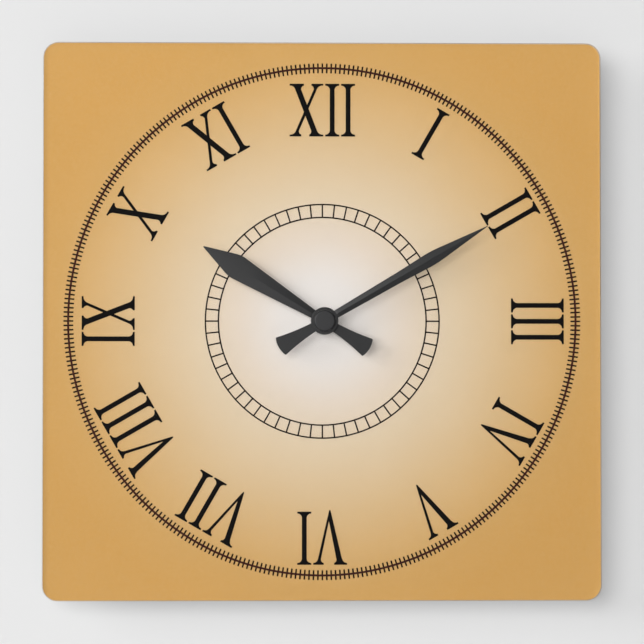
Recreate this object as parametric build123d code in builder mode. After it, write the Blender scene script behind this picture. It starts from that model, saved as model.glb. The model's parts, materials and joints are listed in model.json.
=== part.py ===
from build123d import *

import os
from math import acos, atan2, cos, pi, radians, sin, sqrt

# A square acrylic wall clock: a clear printed plate, a quartz movement behind it and two hands.
#
# The origin is the point on the wall behind the hands' axis. +X is to the right, +Z is up and
# the clock faces -Y. Every sketch lies on a plane parallel to the wall, and a height is the
# distance in millimetres from the wall to that plane, measured towards the room.

os.makedirs("parts", exist_ok=True)


def level(height):
    """The plane parallel to the wall at a height in front of it, seen from the room."""
    return Plane.XZ.offset(height)


def save(part, label):
    """Labels a finished piece and writes it as its own STEP file."""
    part.label = label
    export_step(part, f"parts/{label}.step")


def polar(radius, angle):
    """A point at a radius and an angle in radians, counterclockwise from +X."""
    return (radius * cos(angle), radius * sin(angle))


def polygon(corners):
    """A closed wire of straight runs through its corners."""
    return Wire.make_polygon([Vector(*corner) for corner in corners])


def disc(radius, low, high):
    """A round disc on the hands' axis between two heights, added to the current part."""
    disc_at((0, 0), radius, low, high)


def disc_at(place, radius, low, high, mode=Mode.ADD):
    """A round disc between two heights, centred at a place on the wall."""
    with BuildSketch(level(low)) as base:
        with Locations(place):
            Circle(radius)
    extrude(base.sketch, amount=high - low, mode=mode)


def block(centre, width, tall, low, high, mode=Mode.ADD):
    """A rectangular block between two heights, centred at a place on the wall."""
    with BuildSketch(level(low)) as base:
        with Locations(centre):
            Rectangle(width, tall)
    extrude(base.sketch, amount=high - low, mode=mode)


# ---------------------------------------------------------------- driving dimensions

# movement case
case_side = 56.0
case_depth = 16.0
case_corner = 3.0
case_wall = 1.2
front_wall = 1.0
cover_thickness = 1.2
room_half = case_side / 2 - case_wall
bay_top = -12.4
room_floor = bay_top + case_wall

# everything between the case and the room, by height
hanger_thickness = 1.0
rubber_thickness = 1.0
ink_thickness = 0.1
panel_thickness = 3.0
washer_thickness = 0.5
nut_thickness = 2.0
hanger_front = case_depth + hanger_thickness
backing_rear = hanger_front + rubber_thickness
print_rear = backing_rear + ink_thickness
artwork_rear = print_rear + ink_thickness
panel_rear = artwork_rear + ink_thickness
panel_front = panel_rear + panel_thickness
washer_front = panel_front + washer_thickness
nut_front = washer_front + nut_thickness
bushing_front = nut_front + 0.6

# clear plate
panel_side = 273.0
panel_corner = 7.5
panel_edge_radius = 1.8
panel_hole = 4.2
panel_centre = (-0.9, 0.1)

# printed tracks
minute_ring_radius = 124.2
minute_ring_width = 1.0
minute_tick_width = 0.78
minute_tick_inner = 121.7
minute_tick_outer = 126.5
minute_tick_count = 360
inner_line_width = 0.7
inner_ring_small = 50.85
inner_ring_large = 57.2
inner_tick_count = 60

# numerals
cap_height = 25.9
stem_width = 2.35
serif_width = 6.85
serif_thickness = 0.9
serif_bracket = 1.9
letter_gap = 0.95
wide_letter = 16.5
thick_stroke = 2.9
thin_stroke = 1.5
apex_overshoot = 0.75

# bushing and the tubes inside it
thread_radius = 4.0
thread_pitch = 0.75
thread_depth = 0.4
bushing_bore = 2.56
hour_tube_radius = 2.5
hour_tube_bore = 1.56
minute_arbor_radius = 1.5
minute_arbor_bore = 0.68
seconds_arbor_radius = 0.6
pivot_radius = 0.3
pivot_hole = 0.35

# hands
hand_thickness = 0.4
hand_ridge = 0.45
hour_hand_rear = bushing_front + 0.8
minute_hand_rear = hour_hand_rear + 2.1
hub_radius = 6.7
cap_radius = 5.3
minute_angle = 59.8
hour_angle = 301.6

# gear train: tooth counts, and the distances between arbors that go with them
cannon_teeth = 10
minute_wheel_teeth = 30
minute_pinion_teeth = 8
hour_wheel_teeth = 32
setting_teeth = 12
centre_teeth = 64
third_pinion_teeth = 8
third_teeth = 60
seconds_pinion_teeth = 8
seconds_teeth = 40
fifth_pinion_teeth = 8
fifth_teeth = 48
rotor_teeth = 8
motion_distance = 8.0
third_distance = 10.8
fifth_distance = 8.4
rotor_distance = 7.0

motion_module = 2 * motion_distance / (cannon_teeth + minute_wheel_teeth)
centre_module = 2 * third_distance / (third_pinion_teeth + centre_teeth)
third_module = 2 * third_distance / (third_teeth + seconds_pinion_teeth)
seconds_module = 2 * fifth_distance / (fifth_pinion_teeth + seconds_teeth)
fifth_module = 2 * rotor_distance / (rotor_teeth + fifth_teeth)
setting_distance = motion_module * (setting_teeth + minute_wheel_teeth) / 2

# where the arbors stand, seen from the room, as angles in degrees from +X
third_direction = 150.0
fifth_direction = 32.0
rotor_direction = 30.0
minute_wheel_direction = 4.6
setting_direction = -33.6


def beyond(place, distance, direction):
    """The point at a distance and a direction in degrees from another."""
    step = polar(distance, radians(direction))
    return (place[0] + step[0], place[1] + step[1])


axis = (0.0, 0.0)
third_place = beyond(axis, third_distance, third_direction)
fifth_place = beyond(axis, fifth_distance, fifth_direction)
rotor_place = beyond(fifth_place, rotor_distance, rotor_direction)
minute_wheel_place = beyond(axis, motion_distance, minute_wheel_direction)
setting_place = beyond(minute_wheel_place, setting_distance, setting_direction)

# heights of the wheels
seconds_low, seconds_high = 4.6, 5.4
seconds_pinion_low, seconds_pinion_high = 5.9, 7.5
third_low, third_high = 6.3, 7.1
fifth_pinion_low, fifth_pinion_high = 4.2, 5.8
rotor_pinion_low, rotor_pinion_high = 6.0, 7.4
bridge_low, bridge_high = 8.0, 8.8
centre_low, centre_high = 9.2, 10.0
third_pinion_high = 10.4
cannon_low, cannon_high = 10.5, 12.0
minute_wheel_low, minute_wheel_high = 10.8, 11.6
minute_pinion_high = 14.0
hour_wheel_low, hour_wheel_high = 12.8, 13.7
bushing_flange_low = 14.0
inner_front = case_depth - front_wall
arbor_radius = 0.55

# stepping motor
stator_low, stator_high = 3.5, 4.5
magnet_low, magnet_high = 2.9, 5.2
magnet_radius = 2.8
stator_bore = 3.2
stator_eye = 4.6
core_high = stator_high + 1.0
coil_row = 20.2
coil_left, coil_right = 4.0, 22.4
coil_height = (stator_high + core_high) / 2
coil_flange_radius = 3.2
winding_radius = 2.8
bobbin_tube_radius = 1.9

# time-setting knob
knob_radius = 5.6
knob_low, knob_high = 0.5, 2.7
cup_radius = 6.1
cup_wall = 0.8
cup_floor = 3.1
setting_arbor_radius = 1.0
setting_low, setting_high = 10.5, 12.0

# battery, an AA cell lying along X
battery_radius = 7.1
battery_row = (bay_top - room_half) / 2
battery_height = 7.75
battery_left = -24.9
battery_body_right = 24.0
battery_nub_right = 25.2
nub_radius = 2.7

# circuit board
board_low, board_high = 4.2, 5.0
board_left, board_right = -26.0, -2.0
board_bottom, board_top = 16.8, 26.7
strip_thickness = 0.3
strip_low, strip_high = board_high, 10.0


# ---------------------------------------------------------------- printed plate

def plate_outline(inset=0.0):
    """The plate's rounded square with the hole for the bushing, inside a sketch."""
    with Locations(panel_centre):
        RectangleRounded(panel_side - 2 * inset, panel_side - 2 * inset, panel_corner - inset)
    Circle(panel_hole, mode=Mode.SUBTRACT)


with BuildPart() as acrylic_panel:
    with BuildSketch(level(panel_rear)):
        plate_outline()
    extrude(amount=panel_thickness)
    front_face = acrylic_panel.faces().sort_by(Axis.Y)[0]
    fillet(front_face.outer_wire().edges(), panel_edge_radius)
save(acrylic_panel.part, "acrylic_panel")

with BuildPart() as background_print:
    with BuildSketch(level(print_rear)):
        plate_outline(0.15)
    extrude(amount=ink_thickness)
save(background_print.part, "background_print")

with BuildPart() as white_backing:
    with BuildSketch(level(backing_rear)):
        plate_outline(0.3)
    extrude(amount=ink_thickness)
save(white_backing.part, "white_backing")

# The minute track is one ring with ticks that stand out on both sides of it. Its outline
# steps from the ring to the tick's end and back, once for each tick.


def ticked_circle(ring, tick_end, count, width):
    """The corners of a circle that steps out, or in, to the end of each tick."""
    half_ring = width / 2 / ring
    half_tick = width / 2 / tick_end
    corners = []
    for tick in range(count):
        middle = 2 * pi * tick / count
        corners.append(polar(ring, middle - half_ring))
        corners.append(polar(tick_end, middle - half_tick))
        corners.append(polar(tick_end, middle + half_tick))
        corners.append(polar(ring, middle + half_ring))
    return corners


ring_outside = minute_ring_radius + minute_ring_width / 2
ring_inside = minute_ring_radius - minute_ring_width / 2
outside_corners = ticked_circle(ring_outside, minute_tick_outer, minute_tick_count, minute_tick_width)
inside_corners = ticked_circle(ring_inside, minute_tick_inner, minute_tick_count, minute_tick_width)
track_face = Face(polygon(outside_corners), [polygon(inside_corners)])
with BuildPart() as minute_track:
    with BuildSketch(level(artwork_rear)):
        with Locations(panel_centre):
            add(track_face)
    extrude(amount=ink_thickness)
save(minute_track.part, "minute_track")

with BuildPart() as inner_track:
    with BuildSketch(level(artwork_rear)):
        with Locations(panel_centre):
            Circle(inner_ring_large + inner_line_width / 2)
            Circle(inner_ring_small - inner_line_width / 2, mode=Mode.SUBTRACT)
        cell = 2 * pi / inner_tick_count
        inner_edge = inner_ring_small + inner_line_width / 2
        outer_edge = inner_ring_large - inner_line_width / 2
        inner_half = inner_line_width / 2 / inner_edge
        outer_half = inner_line_width / 2 / outer_edge
        with BuildSketch(mode=Mode.PRIVATE) as window:
            with BuildLine():
                Line(polar(inner_edge, inner_half), polar(outer_edge, outer_half))
                ThreePointArc(polar(outer_edge, outer_half), polar(outer_edge, cell / 2),
                              polar(outer_edge, cell - outer_half))
                Line(polar(outer_edge, cell - outer_half), polar(inner_edge, cell - inner_half))
                ThreePointArc(polar(inner_edge, cell - inner_half), polar(inner_edge, cell / 2),
                              polar(inner_edge, inner_half))
            make_face()
        with Locations(panel_centre):
            with PolarLocations(0, inner_tick_count):
                add(window.sketch, mode=Mode.SUBTRACT)
    extrude(amount=ink_thickness)
save(inner_track.part, "inner_track")


# ---------------------------------------------------------------- numerals

half_cap = cap_height / 2


def stroke_at(height, top_x, bottom_x):
    """The x of a slanted stroke's centre line at a height between the letter's two edges."""
    return bottom_x + (top_x - bottom_x) * (height + half_cap) / cap_height


def serif(end, left, right, stroke_left, stroke_right):
    """A serif at the letter's top (end 1) or bottom (end -1), bracketed into its stroke."""
    edge = end * half_cap
    under = edge - end * serif_thickness
    root = under - end * serif_bracket
    sag = serif_bracket * 0.28
    with BuildLine() as outline:
        Line((left, edge), (right, edge))
        Line((right, edge), (right, under))
        middle_right = ((right + 2 * stroke_right) / 3, under - end * sag)
        ThreePointArc((right, under), middle_right, (stroke_right, root))
        Line((stroke_right, root), (stroke_left, root))
        middle_left = ((left + 2 * stroke_left) / 3, under - end * sag)
        ThreePointArc((stroke_left, root), middle_left, (left, under))
        Line((left, under), (left, edge))
    make_face(outline.edges())


def stroke(top_x, bottom_x, width):
    """A straight stroke of a level width from the letter's top to its bottom."""
    half = width / 2
    with BuildLine() as outline:
        Polyline((top_x - half, half_cap), (top_x + half, half_cap),
                 (bottom_x + half, -half_cap), (bottom_x - half, -half_cap), close=True)
    make_face(outline.edges())


def footed(end, top_x, bottom_x, width, reach_left, reach_right):
    """The serif of one slanted stroke, reaching out to each side of its centre line."""
    root = end * (half_cap - serif_thickness - serif_bracket)
    centre_end = top_x if end > 0 else bottom_x
    centre_root = stroke_at(root, top_x, bottom_x)
    serif(end, centre_end - reach_left, centre_end + reach_right,
          centre_root - width / 2, centre_root + width / 2)


with BuildSketch() as letter_i:
    stroke(0, 0, stem_width)
    for end in (1, -1):
        footed(end, 0, 0, stem_width, serif_width / 2, serif_width / 2)

with BuildSketch() as letter_x:
    thick_top = -wide_letter / 2 + 3.1
    thick_bottom = wide_letter / 2 - 3.4
    thin_top = wide_letter / 2 - 2.7
    thin_bottom = -wide_letter / 2 + 2.6
    stroke(thick_top, thick_bottom, thick_stroke)
    stroke(thin_top, thin_bottom, thin_stroke)
    footed(1, thick_top, thick_bottom, thick_stroke, 3.1, 3.9)
    footed(-1, thick_top, thick_bottom, thick_stroke, 3.5, 3.4)
    footed(1, thin_top, thin_bottom, thin_stroke, 3.1, 2.7)
    footed(-1, thin_top, thin_bottom, thin_stroke, 2.6, 3.1)

with BuildSketch() as letter_v:
    left_top = -wide_letter / 2 + 3.2
    right_top = wide_letter / 2 - 2.4
    apex_x = 0.15
    apex_half = 0.3
    foot = -half_cap - apex_overshoot
    crotch = -half_cap + 4.6
    with BuildLine():
        Polyline((left_top - thick_stroke / 2, half_cap), (left_top + thick_stroke / 2, half_cap),
                 (apex_x + 0.45, crotch), (right_top - thin_stroke / 2, half_cap),
                 (right_top + thin_stroke / 2, half_cap), (apex_x + apex_half, foot),
                 (apex_x - apex_half, foot), close=True)
    make_face()
    footed(1, left_top, apex_x - 0.6, thick_stroke, 3.2, 3.1)
    footed(1, right_top, apex_x + 0.4, thin_stroke, 2.7, 2.4)

letters = {
    "I": (letter_i.sketch, serif_width),
    "X": (letter_x.sketch, wide_letter),
    "V": (letter_v.sketch, wide_letter),
}

# The numerals from twelve o'clock round. Each has the radius that its letters' tops reach and
# a shift clockwise along the dial, because they are set by eye: the twelve sits lower than the
# rest, and the seven and the eight a little towards six.
numerals = [
    ("XII", 116.5, 0.0), ("I", 119.1, 0.0), ("II", 119.4, 0.2), ("III", 118.4, 0.0),
    ("IV", 119.2, 0.9), ("V", 119.0, 0.0), ("VI", 119.0, 0.1), ("VII", 118.2, -0.9),
    ("VIII", 118.1, -1.0), ("IX", 117.6, 0.0), ("X", 117.5, 0.3), ("XI", 117.6, 0.0),
]

with BuildPart() as hour_numerals:
    with BuildSketch(level(artwork_rear)):
        for hour, (text, top_radius, shift) in enumerate(numerals):
            row = sum(letters[letter][1] for letter in text) + letter_gap * (len(text) - 1)
            cursor = shift - row / 2
            for letter in text:
                shape, width = letters[letter]
                placed = Pos(cursor + width / 2, top_radius - half_cap) * shape
                turned = Pos(panel_centre[0], panel_centre[1]) * Rot(0, 0, -30 * hour) * placed
                add(turned)
                cursor += width + letter_gap
    extrude(amount=ink_thickness)
save(hour_numerals.part, "hour_numerals")


# ---------------------------------------------------------------- clamp: washer, nut, bushing

rubber_radius = 11.0
washer_radius = 6.4
nut_flat_radius = 5.5
nut_corner_radius = nut_flat_radius * 2 / sqrt(3)
nut_chamfer_deep, nut_chamfer_shallow = 0.7, 0.45

with BuildPart() as rubber_washer:
    with BuildSketch(level(hanger_front)):
        Circle(rubber_radius)
        Circle(panel_hole, mode=Mode.SUBTRACT)
    extrude(amount=rubber_thickness)
save(rubber_washer.part, "rubber_washer")

with BuildPart() as brass_washer:
    with BuildSketch(level(panel_front)):
        Circle(washer_radius)
        Circle(thread_radius + 0.15, mode=Mode.SUBTRACT)
    extrude(amount=washer_thickness)
save(brass_washer.part, "brass_washer")

with BuildPart() as hex_nut:
    with BuildSketch(level(washer_front)):
        RegularPolygon(nut_flat_radius, 6, major_radius=False)
        Circle(thread_radius + 0.05, mode=Mode.SUBTRACT)
    extrude(amount=nut_thickness)
    with BuildSketch(Plane.YZ):
        with BuildLine():
            Polyline((-nut_front, nut_flat_radius), (-nut_front, nut_corner_radius + 1),
                     (-nut_front + nut_chamfer_deep, nut_corner_radius + 1),
                     (-nut_front + nut_chamfer_shallow, nut_corner_radius), close=True)
        make_face()
    revolve(axis=Axis.Y, mode=Mode.SUBTRACT)
save(hex_nut.part, "hex_nut")

bushing_flange = 6.0
with BuildPart() as threaded_bushing:
    with BuildSketch(level(bushing_flange_low)):
        Circle(bushing_flange)
        Circle(bushing_bore, mode=Mode.SUBTRACT)
    extrude(amount=inner_front - bushing_flange_low)
    with BuildSketch(level(inner_front)):
        Circle(thread_radius)
        Circle(bushing_bore, mode=Mode.SUBTRACT)
    extrude(amount=bushing_front - inner_front)
    thread_start = hanger_front + 0.5
    groove_count = int((bushing_front - 0.3 - thread_start) / thread_pitch)
    with BuildSketch(Plane.YZ):
        for groove in range(groove_count):
            start = -(thread_start + groove * thread_pitch)
            crest_radius = thread_radius + 0.01
            with BuildLine():
                Polyline((start, crest_radius), (start - thread_pitch / 2, thread_radius - thread_depth),
                         (start - thread_pitch + 0.1, crest_radius), close=True)
            make_face()
    revolve(axis=Axis.Y, mode=Mode.SUBTRACT)
save(threaded_bushing.part, "threaded_bushing")


# ---------------------------------------------------------------- wall hanger

# A stamped strip held under the nut: it lies on the movement's front, goes up past the case,
# steps back to the wall and ends in a keyhole plate.
hanger_width = 20.0
hanger_bottom = -9.0
hanger_step_start = 29.6
hanger_step_end = 33.0
hanger_top = 52.0
hanger_wall_gap = 0.6
keyhole_place = (0.0, 39.5)
keyhole_radius = 4.25
keyhole_slot_half = 1.95
keyhole_slot_top = 47.5
with BuildPart() as wall_hanger:
    with BuildSketch(Plane.YZ.offset(-hanger_width / 2)):
        with BuildLine():
            back = -hanger_wall_gap
            face = -hanger_wall_gap - hanger_thickness
            Polyline((-case_depth, hanger_bottom), (-case_depth, hanger_step_start),
                     (back, hanger_step_end), (back, hanger_top), (face, hanger_top),
                     (face, hanger_step_end + 0.8), (-hanger_front, hanger_step_start + 0.8),
                     (-hanger_front, hanger_bottom), close=True)
        make_face()
    extrude(amount=hanger_width)
    fillet(wall_hanger.edges().filter_by(Axis.X).group_by(Axis.Z)[1:-1], 0.45)
    fillet(wall_hanger.edges().filter_by(Axis.Y).sort_by(Axis.Z)[-2:], 6.0)
    fillet(wall_hanger.edges().filter_by(Axis.Y).sort_by(Axis.Z)[:2], 3.0)
    with BuildSketch(level(0)):
        Circle(thread_radius + 0.2)
        with Locations(keyhole_place):
            Circle(keyhole_radius)
        with BuildLine():
            Line((-keyhole_slot_half, keyhole_place[1]), (keyhole_slot_half, keyhole_place[1]))
            Line((keyhole_slot_half, keyhole_place[1]), (keyhole_slot_half, keyhole_slot_top))
            ThreePointArc((keyhole_slot_half, keyhole_slot_top),
                          (0, keyhole_slot_top + keyhole_slot_half),
                          (-keyhole_slot_half, keyhole_slot_top))
            Line((-keyhole_slot_half, keyhole_slot_top), (-keyhole_slot_half, keyhole_place[1]))
        make_face()
    extrude(amount=hanger_front + 1, mode=Mode.SUBTRACT)
save(wall_hanger.part, "wall_hanger")


# ---------------------------------------------------------------- movement case

post_radius = 1.6
cover_post_radius = 1.4
boss_gap = 0.2
boss_radius = 1.5
setting_boss_radius = 1.8
setting_pivot_radius = 0.75
setting_pivot_high = 13.8
third_pivot_high = 12.2
stud_radius = 0.7
post_places = [(-22.5, -8.3), (22.8, -8.3), (-23.0, 13.8), (23.6, 13.2)]
hook_places = [(-15.0, 1), (15.0, 1), (-21.0, -1), (22.5, -1)]
hook_width = 5.0
window_low, window_high = 2.5, 4.0
cover_gap = 0.2

with BuildPart() as front_case:
    with BuildSketch(level(0)):
        RectangleRounded(case_side, case_side, case_corner)
    extrude(amount=case_depth)
    fillet(front_case.faces().sort_by(Axis.Y)[0].edges(), 0.8)
    room_height = room_half - room_floor
    room_row = (room_half + room_floor) / 2
    bay_height = bay_top + room_half
    block((0, room_row), 2 * room_half, room_height, 0, inner_front, Mode.SUBTRACT)
    block((0, battery_row), 2 * room_half, bay_height, 0, inner_front, Mode.SUBTRACT)
    disc_at(axis, thread_radius + 0.03, inner_front, case_depth, Mode.SUBTRACT)
    for place in post_places:
        disc_at(place, post_radius, bridge_high, inner_front)
    disc_at(third_place, boss_radius, third_pinion_high + boss_gap, inner_front)
    disc_at(third_place, pivot_hole, third_pinion_high + boss_gap, third_pivot_high, Mode.SUBTRACT)
    disc_at(minute_wheel_place, stud_radius, minute_wheel_low - 0.1, inner_front)
    disc_at(setting_place, setting_boss_radius, setting_high + boss_gap, inner_front)
    disc_at(setting_place, setting_pivot_radius, setting_high + boss_gap, setting_pivot_high, Mode.SUBTRACT)
    for strip_x in (-room_half + 0.4, room_half - 0.4):
        block((strip_x, bay_top + case_wall / 2), 0.8, case_wall, 0, 11.0, Mode.SUBTRACT)
    for hook_x, side in hook_places:
        wall_z = room_half if side > 0 else room_floor
        centre = wall_z + side * case_wall / 2
        window = (hook_width + 0.6, case_wall + 0.2)
        block((hook_x, centre), *window, window_low, window_high, Mode.SUBTRACT)
    # finger scoops in the long walls of the battery bay
    for scoop_x in (-9.0, 9.0):
        with BuildSketch(Plane.XY.offset(-case_side / 2 - 1)):
            with Locations((scoop_x, 0)):
                Circle(4.0)
        extrude(amount=case_wall + 1, mode=Mode.SUBTRACT)
save(front_case.part, "front_case")

bearing_places = [
    (axis, 1.7, seconds_low - 0.9),
    (third_place, 1.5, third_low - 0.7),
    (fifth_place, 1.4, fifth_pinion_low - 0.7),
    (rotor_place, 1.5, magnet_low - 0.5),
]
stator_post_places = [(4.9, 16.2), (21.4, 16.2), (rotor_place[0] + 3.9, rotor_place[1])]
board_post_places = [(-24.0, 21.5), (-13.5, 19.0), (-4.0, 21.5)]
with BuildPart() as rear_cover:
    cover_tall = room_half - room_floor - 2 * cover_gap
    cover_row = (room_half + room_floor) / 2
    block((0, cover_row), 2 * (room_half - cover_gap), cover_tall, 0, cover_thickness)
    disc_at(setting_place, cup_radius + cup_wall, 0, cup_floor + cup_wall)
    disc_at(setting_place, cup_radius, 0, cup_floor, Mode.SUBTRACT)
    disc_at(setting_place, setting_arbor_radius + 0.06, 0, cup_floor + cup_wall, Mode.SUBTRACT)
    for place, radius, top in bearing_places:
        disc_at(place, radius, cover_thickness, top)
        disc_at(place, pivot_hole, top - 1.2, top, Mode.SUBTRACT)
    for place in stator_post_places:
        disc_at(place, 1.1, cover_thickness, stator_low)
    for place in board_post_places:
        disc_at(place, 1.2, cover_thickness, board_low)
    for place in post_places:
        disc_at(place, cover_post_radius, cover_thickness, bridge_low)
    for hook_x, side in hook_places:
        edge = (room_half if side > 0 else room_floor) - side * cover_gap
        block((hook_x, edge - side * 0.45), hook_width, 0.9, cover_thickness, window_high - 0.3)
        block((hook_x, edge + side * 0.3), hook_width, 0.6, window_low + 0.15, window_high - 0.3)
    # ventilation slots over the coil
    with BuildSketch(level(0)):
        with Locations((13.2, coil_row)):
            with GridLocations(3.0, 0, 5, 1):
                SlotOverall(5.0, 1.2, rotation=90)
    extrude(amount=cover_thickness, mode=Mode.SUBTRACT)
save(rear_cover.part, "rear_cover")


# ---------------------------------------------------------------- gear teeth

# Clock gears: straight radial flanks, and tips curved as the epicycloid that the mating
# gear's rolling circle draws. A pinion's leaves are thinner and end in a round.

wheel_tooth = 1.57
leaf_thickness = 1.05


def wheel_profile(teeth, module, mate_teeth, phase):
    """The outline of a wheel, with a tooth centred on the angle phase, in degrees."""
    pitch = module * teeth / 2
    rolling = module * mate_teeth / 4
    tip = pitch + 0.95 * module
    shoulder = pitch + 0.5 * module
    root = pitch - 1.0 * module
    half = wheel_tooth * module / 2 / pitch

    def lean(radius):
        """How far the tip's curve leans towards the tooth's middle at a radius."""
        centres = pitch + rolling
        roll = acos((centres**2 + rolling**2 - radius**2) / (2 * centres * rolling))
        return roll * rolling / pitch - atan2(rolling * sin(roll), centres - rolling * cos(roll))

    corners = []
    for tooth in range(teeth):
        middle = radians(phase) + 2 * pi * tooth / teeth
        for radius in (root, pitch, shoulder, tip):
            inset = half - lean(max(radius, pitch))
            corners.append(polar(radius, middle - inset))
        for radius in (tip, shoulder, pitch, root):
            inset = half - lean(max(radius, pitch))
            corners.append(polar(radius, middle + inset))
    return Face(polygon(corners))


def pinion_profile(teeth, module, phase):
    """The outline of a pinion, with a leaf centred on the angle phase, in degrees."""
    pitch = module * teeth / 2
    half = leaf_thickness * module / 2 / pitch
    root = pitch - 1.25 * module
    tip = pitch + leaf_thickness * module / 2
    leaf_half = pitch * sin(half)
    corners = []
    for leaf in range(teeth):
        middle = radians(phase) + 2 * pi * leaf / teeth
        corners.append(polar(root, middle - half))
        for turn in (-90, -54, -18, 18, 54, 90):
            across = leaf_half * sin(radians(turn))
            along = pitch + leaf_half * cos(radians(turn))
            corners.append(polar(along, middle + across / along))
        corners.append(polar(root, middle + half))
    return Face(polygon(corners))


def mesh_phase(teeth, phase, direction, mate_teeth):
    """The phase of the gear that meets another across a direction, tooth against gap."""
    lead = phase - direction
    return direction + 180 - lead * teeth / mate_teeth + 180 / mate_teeth


def gear_blank(place, profile, low, high):
    """Extrudes a gear's outline at a place on the plate, between two heights."""
    with BuildSketch(level(low)) as base:
        with Locations(place):
            add(profile)
    extrude(base.sketch, amount=high - low)


def lighten(place, ring, hole, count, low, high):
    """Cuts a ring of round holes through a wheel's web."""
    with BuildSketch(level(low)) as base:
        with Locations(place):
            with PolarLocations(ring, count):
                Circle(hole)
    extrude(base.sketch, amount=high - low, mode=Mode.SUBTRACT)


cannon_phase = 0.0
minute_wheel_phase = mesh_phase(cannon_teeth, cannon_phase, minute_wheel_direction, minute_wheel_teeth)
minute_pinion_phase = 0.0
hour_wheel_phase = mesh_phase(
    minute_pinion_teeth, minute_pinion_phase, minute_wheel_direction + 180, hour_wheel_teeth)
setting_phase = mesh_phase(minute_wheel_teeth, minute_wheel_phase, setting_direction, setting_teeth)
rotor_phase = 0.0
fifth_phase = mesh_phase(rotor_teeth, rotor_phase, rotor_direction + 180, fifth_teeth)
fifth_pinion_phase = 0.0
seconds_phase = mesh_phase(fifth_pinion_teeth, fifth_pinion_phase, fifth_direction + 180, seconds_teeth)
seconds_pinion_phase = 0.0
third_phase = mesh_phase(seconds_pinion_teeth, seconds_pinion_phase, third_direction, third_teeth)
third_pinion_phase = 0.0
centre_phase = mesh_phase(third_pinion_teeth, third_pinion_phase, third_direction + 180, centre_teeth)


# ---------------------------------------------------------------- motion work

with BuildPart() as minute_arbor:
    disc(minute_arbor_radius, centre_low - 0.2, minute_hand_rear + hand_thickness + 0.8)
    gear_blank(axis, pinion_profile(cannon_teeth, motion_module, cannon_phase), cannon_low, cannon_high)
    disc_at(axis, minute_arbor_bore, centre_low - 0.2, hour_wheel_high + 1, Mode.SUBTRACT)
save(minute_arbor.part, "minute_arbor")

with BuildPart() as minute_wheel:
    minute_blank = wheel_profile(minute_wheel_teeth, motion_module, cannon_teeth, minute_wheel_phase)
    gear_blank(minute_wheel_place, minute_blank, minute_wheel_low, minute_wheel_high)
    lighten(minute_wheel_place, 3.7, 1.1, 5, minute_wheel_low, minute_wheel_high)
    minute_leaves = pinion_profile(minute_pinion_teeth, motion_module, minute_pinion_phase)
    gear_blank(minute_wheel_place, minute_leaves, minute_wheel_high, minute_pinion_high)
    disc_at(minute_wheel_place, 0.75, minute_wheel_low, minute_pinion_high, Mode.SUBTRACT)
save(minute_wheel.part, "minute_wheel")

with BuildPart() as hour_wheel:
    hour_blank = wheel_profile(hour_wheel_teeth, motion_module, minute_pinion_teeth, hour_wheel_phase)
    gear_blank(axis, hour_blank, hour_wheel_low, hour_wheel_high)
    disc(hour_tube_radius, hour_wheel_high, hour_hand_rear + hand_thickness)
    disc_at(axis, 3.1, hour_wheel_high, bushing_flange_low - 0.05)
    disc_at(axis, hour_tube_bore, hour_wheel_low, hour_hand_rear + hand_thickness, Mode.SUBTRACT)
    lighten(axis, 4.7, 0.9, 6, hour_wheel_low, hour_wheel_high)
save(hour_wheel.part, "hour_wheel")

with BuildPart() as setting_arbor:
    disc_at(setting_place, setting_arbor_radius, knob_high, setting_high)
    setting_leaves = pinion_profile(setting_teeth, motion_module, setting_phase)
    gear_blank(setting_place, setting_leaves, setting_low, setting_high)
    disc_at(setting_place, 0.7, setting_high, 13.6)
save(setting_arbor.part, "setting_arbor")

with BuildPart() as setting_knob:
    flute_count = 30
    disc_at(setting_place, knob_radius, knob_low, knob_high)
    with BuildSketch(level(knob_low)):
        with Locations(setting_place):
            with PolarLocations(knob_radius + 0.12, flute_count):
                Circle(0.32)
    extrude(amount=knob_high - knob_low, mode=Mode.SUBTRACT)
    # a round well with a bar across it, for a fingertip to turn
    disc_at(setting_place, knob_radius - 1.3, knob_low, knob_low + 1.0, Mode.SUBTRACT)
    block(setting_place, 1.6, 2 * (knob_radius - 1.3) - 0.2, knob_low, knob_low + 1.2)
save(setting_knob.part, "setting_knob")


# ---------------------------------------------------------------- going train

with BuildPart() as centre_wheel:
    centre_blank = wheel_profile(centre_teeth, centre_module, third_pinion_teeth, centre_phase)
    gear_blank(axis, centre_blank, centre_low, centre_high)
    disc_at(axis, 2.4, centre_high, cannon_low - 0.1)
    disc_at(axis, minute_arbor_radius + 0.03, centre_low, cannon_low, Mode.SUBTRACT)
    lighten(axis, 5.6, 1.9, 6, centre_low, centre_high)
save(centre_wheel.part, "centre_wheel")

with BuildPart() as third_wheel:
    third_blank = wheel_profile(third_teeth, third_module, seconds_pinion_teeth, third_phase)
    gear_blank(third_place, third_blank, third_low, third_high)
    lighten(third_place, 5.4, 1.8, 6, third_low, third_high)
    third_leaves = pinion_profile(third_pinion_teeth, centre_module, third_pinion_phase)
    gear_blank(third_place, third_leaves, third_high, third_pinion_high)
    disc_at(third_place, arbor_radius, third_low - 0.65, third_low)
    disc_at(third_place, pivot_radius, third_low - 1.7, third_low - 0.65)
    disc_at(third_place, pivot_radius, third_pinion_high, 12.0)
save(third_wheel.part, "third_wheel")

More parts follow.
